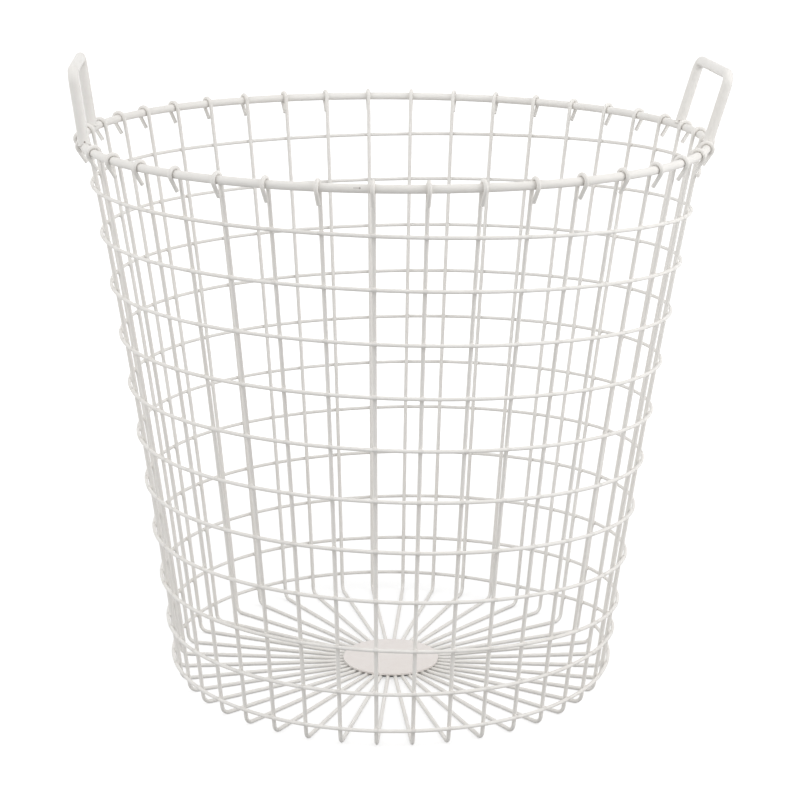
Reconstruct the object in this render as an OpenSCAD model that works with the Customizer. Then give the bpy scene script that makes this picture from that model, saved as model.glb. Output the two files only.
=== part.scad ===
// Round wire basket with two handles. Forty ribs hang from a rim rod, run down
// the flared and slightly bowed wall and across the floor, and one long wire
// winds round them as a spiral. Origin at the middle of the floor, on the surface
// it stands on, +Z up, with the handles on the X axis.

/* [Basket] */
// Diameter of the rim, to the middle of its rod
rim_d = 500; // [420:5:600]
// Height of the middle of the rim rod above the floor
rim_h = 452; // [380:1:520]
// Diameter of the flat floor, where the ribs start to bend upward
floor_d = 348; // [290:1:400]

/* [Wires] */
// Thickness of the rim rod
rim_rod_d = 6.5; // [5:0.5:8]
// Thickness of a rib wire
rib_wire_d = 3.25; // [2.5:0.25:4.5]
// Thickness of the wire of the spiral
spiral_wire_d = 3; // [2:0.25:4]
// Thickness of the handle rod
handle_rod_d = 8.5; // [6:0.5:10]
// Gap left between two pieces that are welded together
weld_gap = 0.1; // [0.05:0.05:0.3]

/* [Ribs] */
// Number of ribs
rib_count = 40; // [32:4:44]
// Radius of the bend between floor and wall, to the middle of the wire
rib_bend_r = 7; // [3:0.5:10]
// How far the middle of the wall bows inward from a straight line
rib_bow = 3; // [1:0.5:6]
// How far the hook goes round the rim below its outer side, in degrees
rib_hook_turn = 33; // [25:1:36]
// Length of the straight end of the hook
rib_hook_tail = 12; // [8:0.5:13]
// Space between the inner ends of the ribs and where they would touch
rib_end_clear = 2.8; // [1.5:0.1:6]

/* [Spiral] */
// Number of full turns of the spiral
spiral_turns = 11; // [9:1:12]
// Height of the last turn above the floor
spiral_foot_h = 15.5; // [13:0.5:24]
// Depth of the first turn below the rim
spiral_first_drop = 43; // [38:0.5:55]
// Height that the wire steps down to its last turn
spiral_last_step = 30; // [18:1:36]
// How far each turn leans up on its high side and down on its low side
spiral_lean = 9.5; // [0:0.5:12]
// Length that the ends of the wire reach past their rib
spiral_end_over = 6; // [3:0.5:10]

/* [Floor disc] */
// Diameter of the disc over the inner ends of the ribs
disc_d = 81; // [74:1:110]
// Thickness of the disc
disc_t = 1.5; // [1:0.25:3]

/* [Handles] */
// Height of the right handle above the rim, to the middle of its rod
handle_h_right = 56.5; // [45:0.5:80]
// Height of the left handle above the rim, to the middle of its rod
handle_h_left = 59; // [45:0.5:80]
// Radius of the handle's corners, to the middle of the rod
handle_corner_r = 9; // [7:0.5:16]
// Space between a leg of the right handle and the rib beside it
handle_foot_clear = 7; // [2:0.5:9]
// Space between the front leg of the left handle and the rib that it stands against
handle_near_clear = 0.4; // [0.3:0.1:2]
// How far the right handle leans outward, in degrees
handle_lean_right = 16; // [0:0.5:25]
// How far the left handle leans outward, in degrees
handle_lean_left = 7.5; // [0:0.5:25]
// Depth that the foot of a leg is shaped over the rim
handle_cope = 1.2; // [0.5:0.1:1.8]

/* [Hidden] */
// Ribs inside each half of a handle, past the rib at its middle
handle_ribs = 1;
// Ribs from the side of the basket back to the start of the spiral
spiral_start_ribs = 2;
// Ribs past the last full turn at the end of the spiral
spiral_extra_ribs = 3;
// Side on which each turn of the spiral stands highest, in degrees
spiral_high_side = -97;
// Turns that lie level at the two ends of the spiral
spiral_level_turns = 2.27;
// Turns from the step to the end of the wire
spiral_last_turns = 1.12;
// Part of a turn that the step takes
spiral_step_turns = 0.25;
// Distance that the start of the spiral keeps below the straight ends of the hooks
spiral_top_clear = 3;
// Roundness of the change from level to slope, at the start and at the end
spiral_top_ease = 11;
spiral_foot_ease = 6;
// How much thinner a bend is than the straight runs beside it, and how far its
// ends reach into them
joint_step = 0.04;
joint_reach = 0.3;
// Sides of the spiral wire, and of a round wire, in its mesh
spiral_sides = 6;
wire_sides = 24;
ring_sides = 180;
// Straight lengths that stand for the slight bow of a wall, in its mesh
wall_steps = 8;

rim_r = rim_d / 2;
rim_rod_r = rim_rod_d / 2;
rib_wire_r = rib_wire_d / 2;
spiral_wire_r = spiral_wire_d / 2;
handle_rod_r = handle_rod_d / 2;
rib_step = 360 / rib_count;

// A rib's side view: x runs outward and y upward. The wall is a slight arc about
// a middle far outside the basket. The arc starts on the bend's outer side and
// ends on the hook's inner side.
hook_r = rim_rod_r + rib_wire_r + weld_gap;
bend_mid = [floor_d / 2, rib_wire_r + rib_bend_r];
hook_mid = [rim_r, rim_h];

// Middle of the wall's arc, from its distances to the middles of bend and hook
wall_span = norm(hook_mid - bend_mid);
wall_dir = (hook_mid - bend_mid) / wall_span;
wall_chord = sqrt(pow(wall_span, 2) - pow(rib_bend_r + hook_r, 2));
wall_arc_r = pow(wall_chord, 2) / (8 * rib_bow) + rib_bow / 2;
bend_reach = wall_arc_r + rib_bend_r;
hook_reach = wall_arc_r - hook_r;
wall_along = (pow(bend_reach, 2) - pow(hook_reach, 2) + pow(wall_span, 2)) / (2 * wall_span);
wall_aside = sqrt(pow(bend_reach, 2) - pow(wall_along, 2));
wall_mid = bend_mid + wall_along * wall_dir + wall_aside * [wall_dir.y, -wall_dir.x];

// Lean of the wall at its foot and at its top, and the hook that follows it
foot_lean = asin((bend_mid.y - wall_mid.y) / bend_reach);
top_lean = asin((hook_mid.y - wall_mid.y) / hook_reach);
hook_end = hook_mid + hook_r * [cos(rib_hook_turn), -sin(rib_hook_turn)];
hook_sweep = 180 - top_lean + rib_hook_turn;
rib_inner_r = rib_wire_r / tan(rib_step / 2) + rib_end_clear;
tail_tip_h = hook_end.y - rib_hook_tail * cos(rib_hook_turn) - rib_wire_r * sin(rib_hook_turn);

// The spiral's section is a hexagon as large as the round wire, flat side in.
spiral_section_r = spiral_wire_r * sqrt(2 * PI / (spiral_sides * sin(360 / spiral_sides)));
spiral_flat_r = spiral_section_r * cos(180 / spiral_sides);
spiral_seat = rib_wire_r + weld_gap + spiral_flat_r;
spiral_arc_r = wall_arc_r - spiral_seat;

// Heights of the spiral, as a function of the angle a that it has wound since
// it first passed its high side.
spiral_first_h = rim_h - spiral_first_drop;
spiral_hold_h = spiral_foot_h + spiral_last_step;
spiral_top_h = tail_tip_h - spiral_top_clear - spiral_wire_r;
spiral_free_turns = spiral_turns - spiral_level_turns;
spiral_pitch = (spiral_first_h - spiral_hold_h) / spiral_free_turns;
spiral_from_rib = -rib_count - spiral_start_ribs;
spiral_to_rib = spiral_from_rib + spiral_turns * rib_count + spiral_extra_ribs;
spiral_end_a = spiral_to_rib * rib_step - spiral_high_side;
spiral_step_a = spiral_end_a - 360 * spiral_last_turns;

function eased(x, ease) = (x + sqrt(x * x + ease * ease)) / 2;
function smooth(x) = let (s = min(1, max(0, x))) s * s * (3 - 2 * s);
function sloped_h(a) = spiral_first_h - spiral_pitch * a / 360 + spiral_lean * cos(a);
function topped_h(a) = spiral_top_h - eased(spiral_top_h - sloped_h(a), spiral_top_ease);
function held_h(a) = spiral_hold_h + eased(topped_h(a) - spiral_hold_h, spiral_foot_ease);
function step_part(a) = smooth((a - spiral_step_a) / (360 * spiral_step_turns));
function spiral_h(a) = held_h(a) - spiral_last_step * step_part(a);
function spiral_r(h) = wall_mid.x - sqrt(pow(spiral_arc_r, 2) - pow(h - wall_mid.y, 2));
function over_a(a) = asin(spiral_end_over / spiral_r(spiral_h(a)));

// Angles at which the spiral has a section: one on each rib, and its two ends.
spiral_rib_a = [for (i = [spiral_from_rib:spiral_to_rib]) i * rib_step - spiral_high_side];
spiral_first_a = spiral_rib_a[0];
spiral_a = concat(
    [spiral_first_a - over_a(spiral_first_a)],
    spiral_rib_a,
    [spiral_end_a + over_a(spiral_end_a)]
);
spiral_count = len(spiral_a);

function spiral_mid(a) = [spiral_r(spiral_h(a)), spiral_h(a)];
function spiral_ring(a) = [
    for (k = [0:spiral_sides - 1])
        let (
            lean = asin((spiral_h(a) - wall_mid.y) / spiral_arc_r),
            b = (k + 1 / 2) * 360 / spiral_sides - lean,
            p = spiral_mid(a) + spiral_section_r * [cos(b), sin(b)],
            turn = a + spiral_high_side
        )
        [p.x * cos(turn), p.x * sin(turn), p.y]
];

// Least gap between one turn of the spiral and the next, over 0.4 mm
spiral_gaps = [
    for (a = spiral_rib_a)
        if (a + 360 <= spiral_end_a)
            norm(spiral_mid(a + 360) - spiral_mid(a)) - 2 * spiral_section_r
];
echo("Least gap between turns of the spiral", min(spiral_gaps));

// The legs of the right handle stand just past a rib on each side of its middle.
// The left handle is as wide, and is turned until its front leg stands against
// the front side of that rib.
handle_foot_off = asin((rib_wire_r + handle_rod_r + handle_foot_clear) / rim_r);
handle_foot_a = handle_ribs * rib_step + handle_foot_off;
handle_near_off = asin((rib_wire_r + handle_rod_r + handle_near_clear) / rim_r);
handle_left_turn = 180 + handle_ribs * rib_step + handle_near_off - handle_foot_a;
handle_w = 2 * rim_r * sin(handle_foot_a);
handle_x = rim_r * cos(handle_foot_a);

function rib_name(i) = str("rib_", i < 9 ? "0" : "", i + 1);
rib_names = [for (i = [0:rib_count - 1]) rib_name(i)];

// Straight round wire along +X from the origin
module wire(len, r) {
    rotate([0, 90, 0])
        cylinder(h = len, r = r, $fn = wire_sides);
}

// Bent round wire about the Z axis, from the X axis on through a sweep. Its ends
// reach into the straight runs, which are a hair thicker.
module bent_wire(bend_r, sweep, r) {
    reach = joint_reach / bend_r * 180 / PI;
    rotate([0, 0, -reach])
        rotate_extrude(angle = sweep + 2 * reach, $fn = ring_sides)
            translate([bend_r, 0])
                circle(r = r - joint_step, $fn = wire_sides);
}

// A ring of round rod that lies level at the rim
module rim_ring(r) {
    translate([0, 0, rim_h])
        rotate_extrude($fn = ring_sides)
            translate([rim_r, 0])
                circle(r = r, $fn = wire_sides);
}

module rim() {
    color("ivory")
        rim_ring(rim_rod_r);
}

// The bowed run of a rib up the wall
module wall_wire() {
    sweep = top_lean - foot_lean;
    translate(concat(wall_mid, 0))
        rotate([0, 0, 180 - top_lean])
            rotate_extrude(angle = sweep, $fn = ceil(wall_steps * 360 / sweep))
                translate([wall_arc_r, 0])
                    circle(r = rib_wire_r, $fn = wire_sides);
}

// One rib in its own plane: floor run, bend, wall, hook and straight end
module rib_shape() {
    translate([rib_inner_r, rib_wire_r, 0])
        wire(bend_mid.x - rib_inner_r, rib_wire_r);
    translate(concat(bend_mid, 0))
        rotate([0, 0, -90])
            bent_wire(rib_bend_r, 90 - foot_lean, rib_wire_r);
    wall_wire();
    translate(concat(hook_mid, 0))
        rotate([0, 0, -rib_hook_turn])
            bent_wire(hook_r, hook_sweep, rib_wire_r);
    translate(concat(hook_end, 0))
        rotate([0, 0, -90 - rib_hook_turn])
            wire(rib_hook_tail, rib_wire_r);
}

module rib(i) {
    color("ivory")
        rotate([0, 0, i * rib_step])
            rotate([90, 0, 0])
                rib_shape();
}

module spiral_wire() {
    rings = [for (a = spiral_a) each spiral_ring(a)];
    sides = [
        for (i = [0:spiral_count - 2], k = [0:spiral_sides - 1])
            let (
                p = i * spiral_sides + k,
                q = i * spiral_sides + (k + 1) % spiral_sides,
                up = spiral_sides
            )
            each [[p, p + up, q], [q, p + up, q + up]]
    ];
    last = (spiral_count - 1) * spiral_sides;
    first_cap = [for (k = [1:spiral_sides - 2]) [0, k, k + 1]];
    last_cap = [for (k = [1:spiral_sides - 2]) [last, last + k + 1, last + k]];
    color("whitesmoke")
        polyhedron(points = rings, faces = concat(sides, first_cap, last_cap));
}

module base_disc() {
    color("gainsboro")
        translate([0, 0, rib_wire_d + weld_gap])
            cylinder(h = disc_t, d = disc_d, $fn = ring_sides);
}

// One handle in its own upright plane: y runs along the rim and z upward
module handle_shape(height) {
    leg_from = rim_rod_r - handle_cope;
    leg_len = height - handle_corner_r - leg_from;
    corner_y = handle_w / 2 - handle_corner_r;
    corner_z = height - handle_corner_r;
    for (side = [-1, 1])
        translate([0, side * handle_w / 2, leg_from])
            cylinder(h = leg_len, r = handle_rod_r, $fn = wire_sides);
    for (side = [-1, 1])
        translate([0, side * corner_y, corner_z])
            rotate([90, 0, 90])
                rotate([0, 0, side > 0 ? 0 : 90])
                    bent_wire(handle_corner_r, 90, handle_rod_r);
    translate([0, -corner_y, height])
        rotate([0, 0, 90])
            wire(2 * corner_y, handle_rod_r);
}

module handle(turn, lean, height) {
    color("ivory")
        difference() {
            rotate([0, 0, turn])
                translate([handle_x, 0, rim_h])
                    rotate([0, lean, 0])
                        handle_shape(height);
            rim_ring(rim_rod_r + weld_gap);
        }
}

rim();
spiral_wire();
base_disc();
handle(0, handle_lean_right, handle_h_right);  // handle_right
handle(handle_left_turn, handle_lean_left, handle_h_left);  // handle_left
for (i = [0:rib_count - 1])
    rib(i);
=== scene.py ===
# Round wire basket with two handles, powder coated off-white, on a white floor.
import math
import random

import bmesh
import bpy
from mathutils import Matrix, Vector


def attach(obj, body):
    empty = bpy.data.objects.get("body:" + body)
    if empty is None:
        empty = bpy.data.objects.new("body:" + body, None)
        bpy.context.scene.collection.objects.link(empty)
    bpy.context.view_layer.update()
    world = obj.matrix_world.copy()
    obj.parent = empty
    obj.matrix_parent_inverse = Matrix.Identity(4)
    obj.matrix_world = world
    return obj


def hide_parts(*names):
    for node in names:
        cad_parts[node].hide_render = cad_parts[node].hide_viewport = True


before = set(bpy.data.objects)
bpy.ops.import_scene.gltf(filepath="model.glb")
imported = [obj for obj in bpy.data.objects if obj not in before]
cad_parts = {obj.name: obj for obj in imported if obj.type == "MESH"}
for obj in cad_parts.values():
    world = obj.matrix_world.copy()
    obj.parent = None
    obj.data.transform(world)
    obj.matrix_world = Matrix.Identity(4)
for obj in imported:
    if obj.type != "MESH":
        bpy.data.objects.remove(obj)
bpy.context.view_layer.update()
mm = 0.001
mergeDistance = 0.001 * mm
random.seed(7)

# The sizes that the wires share, in millimetres and degrees, as in the part's source
basket = {
    "rimDiameter": 500,  # to the middle of its rod
    "rimHeight": 452,  # middle of the rod above the floor
    "floorDiameter": 348,  # where the ribs start to bend upward
    "rimRod": 6.5,
    "ribWire": 3.25,
    "ribCount": 40,
    "bendRadius": 7,  # to the middle of the wire
    "bow": 3,  # how far the middle of the wall lies inside a straight line
    "hookTurn": 33,  # how far a hook goes round the rim below its outer side
    "hookTail": 12,  # the hook's straight end
    "weldGap": 0.1,  # left between two pieces that are welded together
}
rimRadius = basket["rimDiameter"] / 2
ribRadius = basket["ribWire"] / 2
ribStep = 360 / basket["ribCount"]
hookRadius = basket["rimRod"] / 2 + ribRadius + basket["weldGap"]


def cosd(a):
    return math.cos(math.radians(a))


def sind(a):
    return math.sin(math.radians(a))


def turnAboutZ(angle):
    return Matrix.Rotation(math.radians(angle), 4, "Z")


# The rotation with which a camera or lamp points along a direction
def pointAlong(direction):
    return direction.to_track_quat("-Z", "Y")


def addObject(name, data):
    obj = bpy.data.objects.new(name, data)
    bpy.context.scene.collection.objects.link(obj)
    return obj


# Camera: places in metres, lens and sensor in millimetres, roll in degrees

shot = {
    "eye": (-0.17587, -1.79504, 0.71906),
    "aim": (0.00608, -0.00057, 0.23215),
    "lens": 101.2,
    "sensor": 36,
    "roll": 0.4655,
    "clipEnd": 60,
}


def placeCamera():
    data = bpy.data.cameras.new("shotCamera")
    data.lens = shot["lens"]
    data.sensor_fit = "HORIZONTAL"
    data.sensor_width = shot["sensor"]
    data.clip_end = shot["clipEnd"]
    camera = addObject("shotCamera", data)
    eye = Vector(shot["eye"])
    look = pointAlong(Vector(shot["aim"]) - eye).to_matrix().to_4x4()
    camera.matrix_world = Matrix.Translation(eye) @ look @ turnAboutZ(shot["roll"])
    bpy.context.scene.camera = camera


placeCamera()
print("camera placed")


# Small helpers for materials


# Gives a socket its value, which is a number, a colour or the output of another node
def feed(tree, socket, value):
    if isinstance(value, bpy.types.NodeSocket):
        tree.links.new(value, socket)
    else:
        socket.default_value = value


def addNode(tree, kind, inputs=None, **settings):
    node = tree.nodes.new(kind)
    for name, value in settings.items():
        setattr(node, name, value)
    for name, value in (inputs or {}).items():
        feed(tree, node.inputs[name], value)
    return node


def mathNode(tree, operation, *values, clamp=False):
    inputs = dict(enumerate(values))
    return addNode(tree, "ShaderNodeMath", inputs, operation=operation, use_clamp=clamp).outputs[0]


def mapRange(tree, value, fromMin, fromMax, toMin, toMax, blend="SMOOTHSTEP"):
    inputs = {"Value": value, "From Min": fromMin, "From Max": fromMax, "To Min": toMin, "To Max": toMax}
    return addNode(tree, "ShaderNodeMapRange", inputs, interpolation_type=blend).outputs["Result"]


# A colour mix has its two colours at inputs 6 and 7 and its result at output 2
def mixColours(tree, factor, first, second, blend="MIX"):
    inputs = {"Factor": factor, 6: first, 7: second}
    return addNode(tree, "ShaderNodeMix", inputs, data_type="RGBA", blend_type=blend).outputs[2]


def noise(tree, vector, scale, detail):
    inputs = {"Vector": vector, "Scale": scale, "Detail": detail}
    return addNode(tree, "ShaderNodeTexNoise", inputs).outputs["Fac"]


def splitVector(tree, vector):
    split = addNode(tree, "ShaderNodeSeparateXYZ", {"Vector": vector})
    return split.outputs["X"], split.outputs["Y"], split.outputs["Z"]


def hypotenuse(tree, first, second):
    firstSquared = mathNode(tree, "MULTIPLY", first, first)
    return mathNode(tree, "SQRT", mathNode(tree, "MULTIPLY_ADD", second, second, firstSquared))


# The node tree of a new material or world, with no nodes in it
def emptyTree(owner):
    owner.use_nodes = True
    owner.node_tree.nodes.clear()
    return owner.node_tree


# A node group with its named inputs and outputs, and the sockets that they show inside
def newGroup(name, inputs, outputs):
    group = bpy.data.node_groups.new(name, "ShaderNodeTree")
    for label, kind in inputs.items():
        group.interface.new_socket(label, in_out="INPUT", socket_type=kind)
    for label, kind in outputs.items():
        group.interface.new_socket(label, in_out="OUTPUT", socket_type=kind)
    given = addNode(group, "NodeGroupInput").outputs
    result = addNode(group, "NodeGroupOutput").inputs
    return group, given, result


# Sets the nodes out in the editor in columns, each one to the left of what it feeds
def arrange(tree, columnWidth=220, rowHeight=280):
    column = {node.name: 0 for node in tree.nodes}
    for _ in tree.nodes:
        for link in tree.links:
            feeds, fed = link.from_node.name, link.to_node.name
            column[feeds] = max(column[feeds], column[fed] + 1)
    filled = {}
    for node in tree.nodes:
        row = filled.get(column[node.name], 0)
        node.location = (-columnWidth * column[node.name], -rowHeight * row)
        filled[column[node.name]] = row + 1


# The powder coat, with painted shade that darkens it where pieces touch and at the marks. The scales
# are noise cells to the metre. A noise shows from its low value on, and fully from its high one

coat = {
    "colour": (0.85, 0.832, 0.803, 1),
    "discColour": (0.835, 0.79, 0.765, 1),
    "roughness": 0.46,
    "handleRoughness": 0.33,
    "discRoughness": 0.42,
    "weldRoughness": 0.42,
    "specular": 0.22,
    "tintColour": (0.90, 0.875, 0.845, 1),  # multiplies the colour in the blotches and specks
    "tintAmount": 0.35,
    "blotches": {"scale": 9, "detail": 3, "low": 0.38, "high": 0.66, "share": 0.65},
    "specks": {"scale": 160, "detail": 4, "low": 0.35, "high": 0.7, "share": 0.35},
    "speckRoughness": 0.1,
    "paintedShadeColour": (0.20, 0.17, 0.15, 1),  # painted shade where two wires meet, and in the pits and slit of the marks
    "shadeBase": 0.6,  # share of the painted shade that shows between the specks
    "shadeSpecks": 0.5,  # share of the painted shade that the specks add
    "shadeRoughness": 0.2,
    "peelScale": 650,
    "peelDetail": 2,
    "peelHeight": 0.35,  # share of the distance below
    "peelDistance": 0.06,  # millimetres
}


# Node group: the coat's colour with its painted shade mixed in, its roughness and fine orange peel
def makeCoatSkin():
    group, given, result = newGroup(
        "coatSkin",
        {
            "Vector": "NodeSocketVector",
            "Colour": "NodeSocketColor",
            "Roughness": "NodeSocketFloat",
            "Tint Amount": "NodeSocketFloat",
            "Shade Colour": "NodeSocketColor",
            "Shade": "NodeSocketFloat",
            "Peel Scale": "NodeSocketFloat",
            "Peel Height": "NodeSocketFloat",
        },
        {"Colour": "NodeSocketColor", "Roughness": "NodeSocketFloat", "Normal": "NodeSocketVector"},
    )

    def spots(kind):
        cloud = noise(group, given["Vector"], kind["scale"], kind["detail"])
        return mapRange(group, cloud, kind["low"], kind["high"], 0, 1)

    blotches = spots(coat["blotches"])
    specks = spots(coat["specks"])
    blotchTint = mathNode(group, "MULTIPLY", blotches, coat["blotches"]["share"])
    tint = mathNode(group, "MULTIPLY_ADD", specks, coat["specks"]["share"], blotchTint)
    tintMix = mathNode(group, "MULTIPLY", tint, given["Tint Amount"])
    tinted = mixColours(group, tintMix, given["Colour"], coat["tintColour"], "MULTIPLY")
    # Painted shade: the Shade mask mixes the dark shade colour into the coat's colour, broken up a
    # little by the specks
    grain = mathNode(group, "MULTIPLY_ADD", specks, coat["shadeSpecks"], coat["shadeBase"])
    shade = mathNode(group, "MULTIPLY", given["Shade"], grain, clamp=True)
    feed(group, result["Colour"], mixColours(group, shade, tinted, given["Shade Colour"]))

    rough = mathNode(group, "MULTIPLY_ADD", specks, coat["speckRoughness"], given["Roughness"])
    # Where shade is painted, the coat is also a little rougher
    rougher = mathNode(group, "MULTIPLY_ADD", shade, coat["shadeRoughness"], rough, clamp=True)
    feed(group, result["Roughness"], rougher)

    peel = noise(group, given["Vector"], given["Peel Scale"], coat["peelDetail"])
    relief = {"Height": peel, "Strength": given["Peel Height"], "Distance": coat["peelDistance"] * mm}
    feed(group, result["Normal"], addNode(group, "ShaderNodeBump", relief).outputs["Normal"])
    arrange(group)
    return group


# What the next two groups take in and give out: a mask that is 1 up to the distance Near
# from something, and 0 from the distance Far on. It places the painted shade where pieces touch
nearInputs = {"Vector": "NodeSocketVector", "Near": "NodeSocketFloat", "Far": "NodeSocketFloat"}
nearOutputs = {"Mask": "NodeSocketFloat"}


# Node group: distance from the middle line of the rim rod
def makeNearRim():
    group, given, result = newGroup("nearRim", nearInputs, nearOutputs)
    x, y, z = splitVector(group, given["Vector"])
    radial = mathNode(group, "SUBTRACT", hypotenuse(group, x, y), rimRadius * mm)
    above = mathNode(group, "SUBTRACT", z, basket["rimHeight"] * mm)
    away = hypotenuse(group, above, radial)
    feed(group, result["Mask"], mapRange(group, away, given["Near"], given["Far"], 1, 0))
    arrange(group)
    return group


# Node group: distance from the middle plane of the nearest rib, measured round the basket
def makeNearRib():
    group, given, result = newGroup("nearRib", nearInputs, nearOutputs)
    x, y, z = splitVector(group, given["Vector"])
    turn = mathNode(group, "ARCTAN2", y, x)
    fromRib = mathNode(group, "PINGPONG", turn, math.radians(ribStep) / 2)
    across = mathNode(group, "MULTIPLY", fromRib, hypotenuse(group, x, y))
    feed(group, result["Mask"], mapRange(group, across, given["Near"], given["Far"], 1, 0))
    arrange(group)
    return group


coatSkin = makeCoatSkin()
nearRim = makeNearRim()
nearRib = makeNearRib()

# How strong the painted shade is where a piece touches the ribs or the rim, a dark colour that stands
# in for the shade there, and the distances, in millimetres, between which it fades
paintedShadeAtContacts = {
    "rim": {"with": nearRib, "near": 1.6, "far": 2.7, "shade": 0.07},
    "rib": {"with": nearRim, "near": 3.4, "far": 4.8, "shade": 0.08},
    "wallWire": {"with": nearRib, "near": 1.4, "far": 2.6, "shade": 0.12},
    "foot": {"with": nearRim, "near": 3.4, "far": 4.5, "shade": 0.25},
}

# Marks, in millimetres and degrees: painted shade in the small pit of the rim's butt weld, in a slit
# beside it, and in a pit at two feet of the handles. These hollows are drawn only as dark colour
marks = {
    "seamAngle": 258.95,
    "seamHeight": 0.9,  # above the middle of the rim rod
    "slitFrom": 257.95,  # the slit runs from here to the seam
    "slitFade": 0.6,  # from the slit's middle line up or down to where it has faded
    "slitEnd": 1.1,  # its tips have faded at this many times half its length
    "slitPaintedShade": 0.75,
    "pitRadius": 1.0,
    "pitCore": 0.4,  # share of the radius that is fully dark
    "footPits": [(-245.55, -49.44, 456.46), (243.72, 48.0, 456.13)],
}


# Painted shade where a piece touches a rib or the rim: the contact's mask times its strength
def paintedContactShadeMask(tree, vector, contact):
    inputs = {"Vector": vector, "Near": contact["near"] * mm, "Far": contact["far"] * mm}
    mask = addNode(tree, "ShaderNodeGroup", inputs, node_tree=contact["with"]).outputs["Mask"]
    return mathNode(tree, "MULTIPLY", mask, contact["shade"])


# Painted shade of a small pit: fully dark within its core, fading out at its radius
def pitMask(tree, vector, middle):
    inputs = {0: vector, 1: Vector(middle) * mm}
    away = addNode(tree, "ShaderNodeVectorMath", inputs, operation="DISTANCE").outputs["Value"]
    radius = marks["pitRadius"] * mm
    return mapRange(tree, away, marks["pitCore"] * radius, radius, 1, 0)


# Painted shade of the weld's slit: a thin dark line along the rim, fading at its tips
def slitMask(tree, vector, height):
    x, y, z = splitVector(tree, vector)
    above = mathNode(tree, "ABSOLUTE", mathNode(tree, "SUBTRACT", z, height * mm))
    line = mapRange(tree, above, 0, marks["slitFade"] * mm, 1, 0)
    middle = math.radians((marks["seamAngle"] + marks["slitFrom"]) / 2 - 360)
    half = math.radians((marks["seamAngle"] - marks["slitFrom"]) / 2)
    turn = mathNode(tree, "ARCTAN2", y, x)
    along = mathNode(tree, "ABSOLUTE", mathNode(tree, "SUBTRACT", turn, middle))
    slit = mathNode(tree, "MULTIPLY", line, mapRange(tree, along, half, half * marks["slitEnd"], 1, 0))
    return mathNode(tree, "MULTIPLY", slit, marks["slitPaintedShade"])


# The rim's painted shade: where the ribs' hooks touch it, and in the weld's pit and slit
def rimPaintedShade(tree, vector):
    height = basket["rimHeight"] + marks["seamHeight"]
    outer = rimRadius + math.sqrt((basket["rimRod"] / 2) ** 2 - marks["seamHeight"] ** 2)
    seam = (outer * cosd(marks["seamAngle"]), outer * sind(marks["seamAngle"]), height)
    mark = mathNode(tree, "MAXIMUM", pitMask(tree, vector, seam), slitMask(tree, vector, height))
    return mathNode(tree, "MAXIMUM", paintedContactShadeMask(tree, vector, paintedShadeAtContacts["rim"]), mark)


# A rib's painted shade, where its hook lies round the rim
def ribPaintedShade(tree, vector):
    return paintedContactShadeMask(tree, vector, paintedShadeAtContacts["rib"])


# The wall wire's painted shade, where it crosses the ribs
def wallWirePaintedShade(tree, vector):
    return paintedContactShadeMask(tree, vector, paintedShadeAtContacts["wallWire"])


# The handles' and foot beads' painted shade, where the feet stand on the rim, and in their pits
def footPaintedShade(tree, vector):
    shade = paintedContactShadeMask(tree, vector, paintedShadeAtContacts["foot"])
    for middle in marks["footPits"]:
        shade = mathNode(tree, "MAXIMUM", shade, pitMask(tree, vector, middle))
    return shade


# The disc has no painted shade
def noPaintedShade(tree, vector):
    return 0


# A coat material. The shade function makes the mask of the places where painted shade darkens its colour
def makeCoat(name, colour, roughness, shade):
    material = bpy.data.materials.new(name)
    tree = emptyTree(material)
    vector = addNode(tree, "ShaderNodeTexCoord").outputs["Object"]
    inputs = {
        "Vector": vector,
        "Colour": colour,
        "Roughness": roughness,
        "Tint Amount": coat["tintAmount"],
        "Shade Colour": coat["paintedShadeColour"],
        "Shade": shade(tree, vector),
        "Peel Scale": coat["peelScale"],
        "Peel Height": coat["peelHeight"],
    }
    skin = addNode(tree, "ShaderNodeGroup", inputs, node_tree=coatSkin).outputs
    surface = {
        "Base Color": skin["Colour"],
        "Roughness": skin["Roughness"],
        "Specular IOR Level": coat["specular"],
        "Normal": skin["Normal"],
    }
    shader = addNode(tree, "ShaderNodeBsdfPrincipled", surface).outputs["BSDF"]
    addNode(tree, "ShaderNodeOutputMaterial", {"Surface": shader})
    arrange(tree)
    return material


rimCoat = makeCoat("rimCoat", coat["colour"], coat["roughness"], rimPaintedShade)
ribCoat = makeCoat("ribCoat", coat["colour"], coat["roughness"], ribPaintedShade)
wireCoat = makeCoat("wireCoat", coat["colour"], coat["roughness"], wallWirePaintedShade)
handleCoat = makeCoat("handleCoat", coat["colour"], coat["handleRoughness"], footPaintedShade)
discCoat = makeCoat("discCoat", coat["discColour"], coat["discRoughness"], noPaintedShade)
weldCoat = makeCoat("weldCoat", coat["colour"], coat["weldRoughness"], footPaintedShade)


def dress(name, material):
    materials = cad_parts[name].data.materials
    materials.clear()
    materials.append(material)


dress("rim", rimCoat)
dress("base_disc", discCoat)
dress("handle_right", handleCoat)
dress("handle_left", handleCoat)
for number in range(basket["ribCount"]):
    dress(f"rib_{number + 1:02d}", ribCoat)
print("CAD pieces painted")


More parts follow.
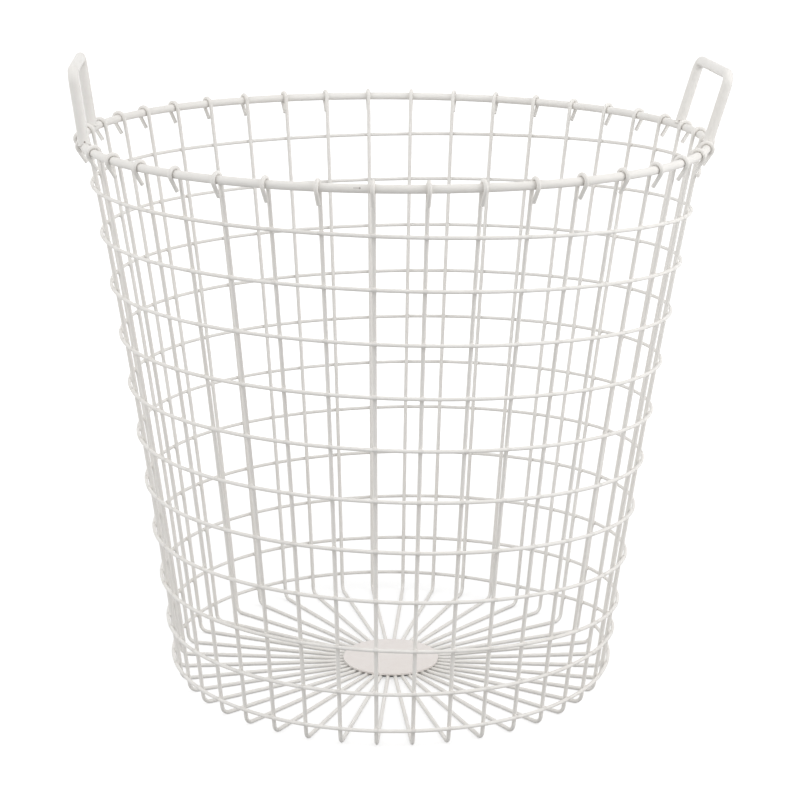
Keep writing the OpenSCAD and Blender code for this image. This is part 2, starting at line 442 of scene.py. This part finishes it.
# The wall, seen from the side: x runs outward and y upward. It is an arc about a
# middle far outside the basket, from the bend's outer side to the hook's inner side
def fitWall():
    bendMiddle = Vector((basket["floorDiameter"] / 2, ribRadius + basket["bendRadius"]))
    hookMiddle = Vector((rimRadius, basket["rimHeight"]))
    span = (hookMiddle - bendMiddle).length
    toward = (hookMiddle - bendMiddle) / span
    chord = math.sqrt(span**2 - (basket["bendRadius"] + hookRadius) ** 2)
    arc = chord**2 / (8 * basket["bow"]) + basket["bow"] / 2
    toBend = arc + basket["bendRadius"]
    toHook = arc - hookRadius
    along = (toBend**2 - toHook**2 + span**2) / (2 * span)
    aside = math.sqrt(toBend**2 - along**2)
    return arc, bendMiddle + along * toward + aside * Vector((toward.y, -toward.x))


wallArc, wallMiddle = fitWall()


# Radius of the wall's middle line at a height, or of a line that lies further out by seat
def wallRadius(height, seat=0):
    return wallMiddle.x - math.sqrt((wallArc - seat) ** 2 - (height - wallMiddle.y) ** 2)


def wallLean(height):
    return math.degrees(math.asin((height - wallMiddle.y) / wallArc))


# Wall wire: one long wire wound round the ribs as a spiral, in millimetres and degrees

wallWire = {
    "wire": 3,
    "turns": 11,
    "footHeight": 15.5,  # height of the last turn
    "firstDrop": 43,  # depth of the first turn below the rim
    "lastStep": 30,  # step down to the last turn
    "lean": 9.5,  # how far a turn leans up on its high side and down on its low side
    "highSide": -97,
    "levelTurns": 2.27,  # turns that lie level at the two ends
    "lastTurns": 1.12,  # from the step to the end
    "stepTurns": 0.25,  # part of a turn that the step takes
    "topClear": 3,  # from the tips of the hooks down to the start
    "topEase": 11,  # roundness of the change from level to slope at the start
    "footEase": 6,  # the same at the end
    "endOver": 6,  # how far the ends reach past their ribs
    "startRibs": 2,  # ribs from the side of the basket back to the start
    "extraRibs": 3,  # ribs past the last full turn
    "pointsPerRib": 8,
    "bevelSteps": 3,
}
hookTip = (
    basket["rimHeight"]
    - hookRadius * sind(basket["hookTurn"])
    - basket["hookTail"] * cosd(basket["hookTurn"])
    - ribRadius * sind(basket["hookTurn"])
)
firstHeight = basket["rimHeight"] - wallWire["firstDrop"]
holdHeight = wallWire["footHeight"] + wallWire["lastStep"]
topHeight = hookTip - wallWire["topClear"] - wallWire["wire"] / 2
pitch = (firstHeight - holdHeight) / (wallWire["turns"] - wallWire["levelTurns"])
firstRib = -basket["ribCount"] - wallWire["startRibs"]
lastRib = firstRib + wallWire["turns"] * basket["ribCount"] + wallWire["extraRibs"]


# Angle that the wire has wound at a rib, counted from its first pass of its high side
def woundAngle(rib):
    return rib * ribStep - wallWire["highSide"]


# Nearly x where x is well above 0 and nearly 0 where it is well below, rounded by ease
def eased(x, ease):
    return (x + math.sqrt(x * x + ease * ease)) / 2


def wireHeight(angle):
    sloped = firstHeight - pitch * angle / 360 + wallWire["lean"] * cosd(angle)
    topped = topHeight - eased(topHeight - sloped, wallWire["topEase"])
    held = holdHeight + eased(topped - holdHeight, wallWire["footEase"])
    stepAngle = woundAngle(lastRib) - 360 * wallWire["lastTurns"]
    part = min(1, max(0, (angle - stepAngle) / (360 * wallWire["stepTurns"])))
    return held - wallWire["lastStep"] * part * part * (3 - 2 * part)


# A point on the wire's middle line, or nearer to the ribs by inward
def wirePoint(angle, inward=0):
    height = wireHeight(angle)
    radius = wallRadius(height, ribRadius + basket["weldGap"] + wallWire["wire"] / 2 - inward)
    turn = angle + wallWire["highSide"]
    return Vector((radius * cosd(turn), radius * sind(turn), height)) * mm


# A round wire along points, as a mesh at the origin. An open wire has filled ends, and
# widths, if given, multiply its radius at each point
def sweepWire(name, points, radius, bevelSteps, closed=False, widths=None):
    curve = bpy.data.curves.new(name, "CURVE")
    curve.dimensions = "3D"
    curve.bevel_depth = radius
    curve.bevel_resolution = bevelSteps
    curve.use_fill_caps = True
    line = curve.splines.new("POLY")
    line.points.add(len(points) - 1)
    for spot, point, width in zip(line.points, points, widths or [1] * len(points)):
        spot.co = (*point, 1)
        spot.radius = width
    line.use_cyclic_u = closed
    drawn = addObject(name, curve)
    bpy.context.view_layer.update()
    mesh = bpy.data.meshes.new_from_object(drawn)
    bpy.data.objects.remove(drawn)
    bm = bmesh.new()
    bm.from_mesh(mesh)
    bmesh.ops.remove_doubles(bm, verts=bm.verts, dist=mergeDistance)
    bmesh.ops.recalc_face_normals(bm, faces=bm.faces)
    for face in bm.faces:
        face.smooth = len(face.verts) == 4  # the filled ends stay flat
    bm.to_mesh(mesh)
    bm.free()
    return addObject(name, mesh)


def finishPiece(piece, material):
    piece.data.materials.clear()
    piece.data.materials.append(material)
    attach(piece, "root")


def makeWallWire():
    startOver = math.degrees(wallWire["endOver"] / rimRadius)
    endOver = math.degrees(wallWire["endOver"] / wallRadius(wallWire["footHeight"]))
    start = woundAngle(firstRib) - startOver
    wound = woundAngle(lastRib) + endOver - start
    count = round(wound / ribStep * wallWire["pointsPerRib"])
    points = [wirePoint(start + wound * i / count) for i in range(count + 1)]
    piece = sweepWire("wallWireRound", points, wallWire["wire"] / 2 * mm, wallWire["bevelSteps"])
    finishPiece(piece, wireCoat)
    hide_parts("spiral_wire")


makeWallWire()
print("wall wire wound")


# Spot welds: a small flat bead where the wall wire crosses each rib. Each size is from the
# bead's middle to its side, in millimetres

spotWeld = {
    "across": 1.9,
    "along": 1.9,
    "thick": 0.95,
    "vary": 0.12,  # share by which a bead may be larger or smaller
    "around": 8,
    "rings": 5,
}


def makeSpotWelds():
    bm = bmesh.new()
    for rib in range(firstRib, lastRib + 1):
        angle = woundAngle(rib)
        lean = wallLean(wireHeight(angle))
        outward = Vector((cosd(lean), 0, -sind(lean)))
        upward = Vector((sind(lean), 0, cosd(lean)))
        onWall = Matrix((outward, Vector((0, 1, 0)), upward)).transposed().to_4x4()
        grow = 1 + random.uniform(-spotWeld["vary"], spotWeld["vary"])
        across, along = spotWeld["across"] * grow, spotWeld["along"] * grow
        size = Matrix.Diagonal((spotWeld["thick"] * mm, across * mm, along * mm, 1))
        middle = wirePoint(angle, wallWire["wire"] / 2 + basket["weldGap"] / 2)
        bmesh.ops.create_uvsphere(
            bm,
            u_segments=spotWeld["around"],
            v_segments=spotWeld["rings"],
            radius=1,
            matrix=Matrix.Translation(middle) @ turnAboutZ(rib * ribStep) @ onWall @ size,
        )
    for face in bm.faces:
        face.smooth = True
    mesh = bpy.data.meshes.new("spotWelds")
    bm.to_mesh(mesh)
    bm.free()
    finishPiece(addObject("spotWelds", mesh), weldCoat)


makeSpotWelds()
print("spot welds set")


# Handle feet: a thin wavy weld bead round each leg, where it stands on the rim. The handles'
# sizes are as in the part's source, in millimetres and degrees

handles = {
    "rod": 8.5,
    "footClear": 7,  # space between a leg and the rib beside it
    "nearClear": 0.4,  # the same at the front leg of the left handle
    "ribsInside": 1,  # ribs inside each half of a handle, past the rib at its middle
    "leanRight": 16,
    "leanLeft": 7.5,
    "cope": 1.2,  # depth that a foot is shaped over the rim
}
footWeld = {
    "radius": 0.8,
    "above": 0.25,  # height of the bead's middle line over the rim's surface
    "points": 40,
    "halvings": 24,  # halvings of the stretch in which that height is looked for
    "ripple": (0.8, 1.15),  # least and most width of a point, drawn at random
    "waves": 9,  # swellings round the leg
    "waveHeight": 0.12,
    "bevelSteps": 2,
}


# Angle along the rim from a rib to the middle of a leg beside it
def legAngle(clear):
    return math.degrees(math.asin((ribRadius + handles["rod"] / 2 + clear) / rimRadius))


# The bead follows the leg's round side, at the height where that comes out of the rim
def makeFootWeld(name, turn, lean, side):
    rodRadius = handles["rod"] / 2
    rimSkin = basket["rimRod"] / 2 + footWeld["above"]
    angle = handles["ribsInside"] * ribStep + legAngle(handles["footClear"])
    foot = (rimRadius * cosd(angle), side * rimRadius * sind(angle), basket["rimHeight"])
    leg = turnAboutZ(turn) @ Matrix.Translation(foot) @ Matrix.Rotation(math.radians(lean), 4, "Y")

    def legPoint(around, height):
        return leg @ Vector((rodRadius * cosd(around), rodRadius * sind(around), height))

    def fromRim(point):
        return math.hypot(math.hypot(point.x, point.y) - rimRadius, point.z - basket["rimHeight"])

    points = []
    for step in range(footWeld["points"]):
        around = 360 * step / footWeld["points"]
        low, high = basket["rimRod"] / 2 - handles["cope"], handles["rod"]
        for _ in range(footWeld["halvings"]):
            middle = (low + high) / 2
            if fromRim(legPoint(around, middle)) > rimSkin:
                high = middle
            else:
                low = middle
        points.append(legPoint(around, high) * mm)

    widths = []
    for step in range(footWeld["points"]):
        wave = math.sin(step / footWeld["points"] * 2 * math.pi * footWeld["waves"])
        widths.append(random.uniform(*footWeld["ripple"]) * (1 + footWeld["waveHeight"] * wave))
    radius, bevelSteps = footWeld["radius"] * mm, footWeld["bevelSteps"]
    piece = sweepWire(name, points, radius, bevelSteps, closed=True, widths=widths)
    finishPiece(piece, weldCoat)


# The left handle's front leg stands closer to its rib, so that handle is turned a little
leftTurn = 180 + legAngle(handles["nearClear"]) - legAngle(handles["footClear"])
makeFootWeld("beadRightFront", 0, handles["leanRight"], -1)
makeFootWeld("beadRightBack", 0, handles["leanRight"], 1)
makeFootWeld("beadLeftFront", leftTurn, handles["leanLeft"], 1)
makeFootWeld("beadLeftBack", leftTurn, handles["leanLeft"], -1)
print("handle feet welded")


# Studio, in metres and degrees: a pale floor and a world that look white to the camera, a
# wide sun from the left and three round lamps

studio = {
    "floorSize": 30,
    "floorColour": (0.5, 0.5, 0.5, 1),
    "nearGlow": 0.6,
    "farGlow": 0.85,
    "glowRise": (0.3, 1.0),  # distances from the middle between which the glow goes up
    "discShadow": (0.0345, 0.0367),  # no glow nearer than the first, all of it past the second
    "world": 0.66,
    "sun": {"from": (-1, -0.4, 0.4), "strength": 0.4, "spread": 60},
    "lampAim": (0, 0, 0.35),
    "lamps": [
        {"name": "rightLamp", "place": (1.4, -0.75, 1.1), "size": 1.4, "power": 13.5},
        {"name": "leftLamp", "place": (-1.5, -0.6, 1.2), "size": 1.4, "power": 6},
        {"name": "topLamp", "place": (0, 0.2, 1.5), "size": 1, "power": 1.2},
    ],
}


# 1 for what the camera sees, also in gloss or through glass, and 0 for light on the basket
def seenMask(tree):
    path = addNode(tree, "ShaderNodeLightPath").outputs
    seen = mathNode(tree, "MAXIMUM", path["Is Camera Ray"], path["Is Glossy Ray"])
    return mathNode(tree, "MAXIMUM", seen, path["Is Transmission Ray"])


def makeFloor():
    bm = bmesh.new()
    bmesh.ops.create_grid(bm, x_segments=1, y_segments=1, size=studio["floorSize"] / 2)
    mesh = bpy.data.meshes.new("studioFloor")
    bm.to_mesh(mesh)
    bm.free()
    floor = addObject("studioFloor", mesh)
    material = bpy.data.materials.new("floorWhite")
    tree = emptyTree(material)
    place = addNode(tree, "ShaderNodeTexCoord").outputs["Object"]
    away = addNode(tree, "ShaderNodeVectorMath", {0: place}, operation="LENGTH").outputs["Value"]
    rise = mapRange(tree, away, *studio["glowRise"], studio["nearGlow"], studio["farGlow"])
    clear = mapRange(tree, away, *studio["discShadow"], 0, 1)
    strength = mathNode(tree, "MULTIPLY", seenMask(tree), mathNode(tree, "MULTIPLY", rise, clear))
    matt = addNode(tree, "ShaderNodeBsdfDiffuse", {"Color": studio["floorColour"]}).outputs[0]
    glow = addNode(tree, "ShaderNodeEmission", {"Strength": strength}).outputs[0]
    both = addNode(tree, "ShaderNodeAddShader", {0: matt, 1: glow}).outputs[0]
    addNode(tree, "ShaderNodeOutputMaterial", {"Surface": both})
    arrange(tree)
    mesh.materials.append(material)


def makeWorld():
    world = bpy.data.worlds.new("studioWorld")
    bpy.context.scene.world = world
    tree = emptyTree(world)
    strength = mapRange(tree, seenMask(tree), 0, 1, studio["world"], 1, blend="LINEAR")
    white = {"Color": (1, 1, 1, 1), "Strength": strength}
    background = addNode(tree, "ShaderNodeBackground", white).outputs[0]
    addNode(tree, "ShaderNodeOutputWorld", {"Surface": background})
    arrange(tree)


def makeSun():
    data = bpy.data.lights.new("leftSun", "SUN")
    data.energy = studio["sun"]["strength"]
    data.angle = math.radians(studio["sun"]["spread"])
    sun = addObject("leftSun", data)
    sun.rotation_euler = pointAlong(-Vector(studio["sun"]["from"])).to_euler()


def makeLamp(name, place, size, power):
    data = bpy.data.lights.new(name, "AREA")
    data.shape = "DISK"
    data.size = size
    data.energy = power
    lamp = addObject(name, data)
    lamp.location = place
    lamp.rotation_euler = pointAlong(Vector(studio["lampAim"]) - Vector(place)).to_euler()


makeFloor()
makeWorld()
makeSun()
for lamp in studio["lamps"]:
    makeLamp(**lamp)
bpy.context.scene.view_settings.view_transform = "Standard"
print("studio lit")
